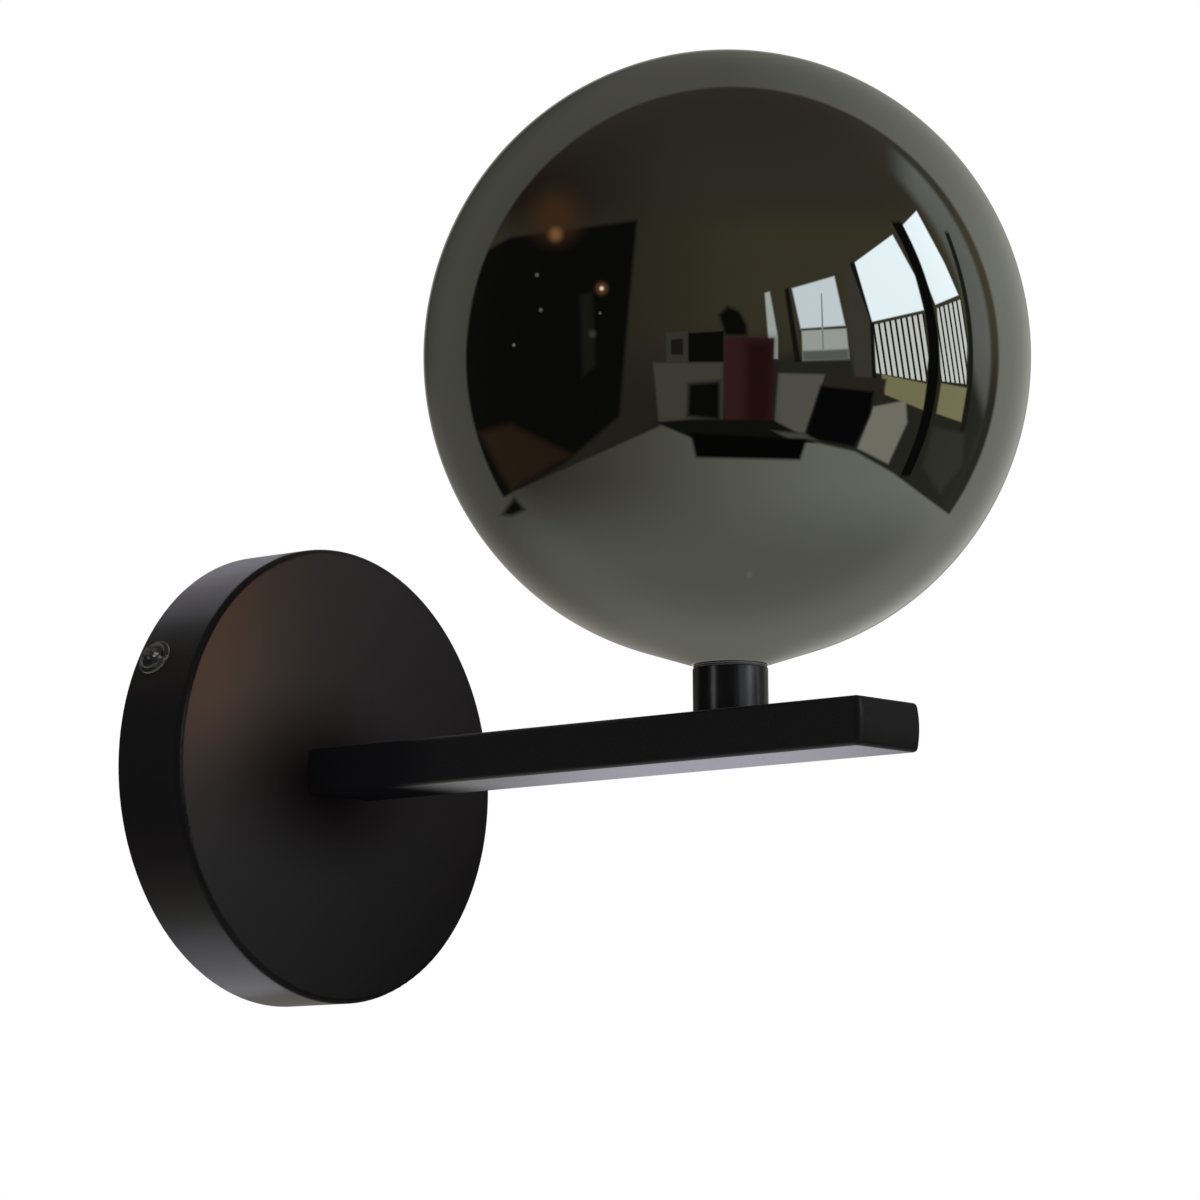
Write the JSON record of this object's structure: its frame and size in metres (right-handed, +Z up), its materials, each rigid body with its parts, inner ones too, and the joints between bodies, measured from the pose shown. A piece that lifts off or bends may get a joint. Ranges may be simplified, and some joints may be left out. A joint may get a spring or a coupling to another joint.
{
  "type": "globe wall sconce",
  "caption": "Wall light with a round cup-shaped rose, a flat black arm standing out from it, and a smoked mirror glass globe on a short stem over a plug-in lamp.",
  "frame": {"origin": "centre of the rose's back plane, on the wall, which is also the middle between the wall screw holes", "axes": "+Z up, -Y straight out of the wall along the arm, +X to the right for a person who faces the wall"},
  "size_m": [0.151, 0.228, 0.231],
  "materials": {
    "black_paint": "satin black powder coat",
    "black_screw": "gloss black",
    "zinc_steel": "zinc plated",
    "block_plastic": "moulded, satin",
    "brass_fittings": "turned",
    "tinned_terminal": "tinned sheet",
    "bush_plastic": "moulded",
    "ceramic": "fired ceramic",
    "silicone": "soft translucent white",
    "ring_metal": "rolled thread",
    "smoked_mirror": "smoked mirror coating under clear glass",
    "lamp_foot": "moulded",
    "lamp_glass": "frosted",
    "lamp_board": "white circuit board with light chips",
    "wire_brown": "soft insulation",
    "wire_blue": "soft insulation",
    "wire_green": "green insulation with a yellow stripe"
  },
  "bodies": {
    "wall_unit": {"rose_cup": "black_paint", "mounting_bracket": "zinc_steel", "rose_side_screws": "black_screw", "terminal_block": "block_plastic", "terminal_inserts": "brass_fittings", "terminal_screws": "zinc_steel", "terminal_block_screw": "zinc_steel", "earth_screw": "zinc_steel", "earth_terminal_arm": "tinned_terminal", "earth_terminal_tab": "tinned_terminal", "arm_nipple": "zinc_steel", "arm_lock_washer": "zinc_steel", "arm_nut": "zinc_steel", "wire_bush": "bush_plastic", "arm_tube": "black_paint", "arm_end_cap": "black_paint", "arm_root_plug": "zinc_steel", "arm_dowels": "zinc_steel", "stem_cup": "black_paint", "stem_nipple": "zinc_steel", "stem_lock_washer": "zinc_steel", "stem_nut": "zinc_steel", "stem_weld_nut": "zinc_steel", "thread_collar": "black_paint", "lampholder_body": "ceramic", "lampholder_contacts": "brass_fittings", "lampholder_circlip": "zinc_steel", "wire_live": "wire_brown", "wire_neutral": "wire_blue", "wire_earth": "wire_green"},
    "gasket": {"globe_gasket": "silicone"},
    "globe": {"globe_glass": "smoked_mirror", "globe_thread_ring": "ring_metal"},
    "lamp": {"lamp_base": "lamp_foot", "lamp_envelope": "lamp_glass", "lamp_pins": "zinc_steel", "lamp_board": "lamp_board"}
  },
  "joints": [
    {"name": "globe_rise", "type": "slide", "parent": "wall_unit", "child": "gasket", "axis": [0, 0, 1], "range_m": [0, 0.0105]},
    {"name": "globe_turn", "type": "hinge", "parent": "gasket", "child": "globe", "pos_m": [0, -0.1525, 0.0954], "axis": [0, 0, 1], "range_deg": [0, 1260]},
    {"name": "lamp_pull", "type": "slide", "parent": "wall_unit", "child": "lamp", "axis": [0, 0, 1], "range_m": [0, 0.008]}
  ],
  "couplings": [
    {"joint": "globe_rise", "follows": "globe_turn", "m_per_rad": 0.00047746}
  ]
}
